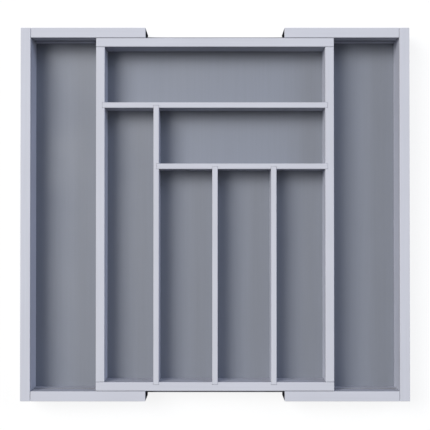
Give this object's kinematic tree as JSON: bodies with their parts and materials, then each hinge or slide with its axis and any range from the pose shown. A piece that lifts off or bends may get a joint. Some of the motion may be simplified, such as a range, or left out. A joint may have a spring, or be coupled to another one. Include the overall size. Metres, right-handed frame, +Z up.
{
  "type": "cutlery tray",
  "caption": "Shallow painted wooden drawer tray with divided compartments for cutlery and side trays that slide out left and right to widen it.",
  "frame": {"origin": "on the surface that the tray stands on, in the middle of the tray with both side trays pulled out", "axes": "+X across the tray, along which the side trays slide; +Y to the back, where the crosswise compartments are; +Z up"},
  "size_m": [0.448, 0.43, 0.05],
  "materials": {
    "painted_wood": "smooth satin paint, light grey with a lavender cast",
    "painted_panel": "smooth matt grey paint on thin board",
    "bare_beech": "bare fluted beech"
  },
  "bodies": {
    "centre_tray": {"centre_front_wall": "painted_wood", "centre_back_wall": "painted_wood", "centre_left_wall": "painted_wood", "centre_right_wall": "painted_wood", "centre_floor": "painted_panel", "full_cross_divider": "painted_wood", "long_divider": "painted_wood", "short_cross_divider": "painted_wood", "middle_divider": "painted_wood", "right_divider": "painted_wood", "front_slide_rail": "painted_wood", "back_slide_rail": "painted_wood", "centre_corner_dowels": "bare_beech"},
    "left_side_tray": {"left_side_wall": "painted_wood", "left_front_arm": "painted_wood", "left_back_arm": "painted_wood", "left_floor": "painted_panel", "left_stop_batten": "painted_wood", "left_corner_dowels": "bare_beech"},
    "right_side_tray": {"right_side_wall": "painted_wood", "right_front_arm": "painted_wood", "right_back_arm": "painted_wood", "right_floor": "painted_panel", "right_stop_batten": "painted_wood", "right_corner_dowels": "bare_beech"}
  },
  "joints": [
    {"name": "left_slide", "type": "slide", "parent": "centre_tray", "child": "left_side_tray", "axis": [-1, 0, 0], "range_m": [-0.075, 0]},
    {"name": "right_slide", "type": "slide", "parent": "centre_tray", "child": "right_side_tray", "axis": [1, 0, 0], "range_m": [-0.075, 0]}
  ]
}
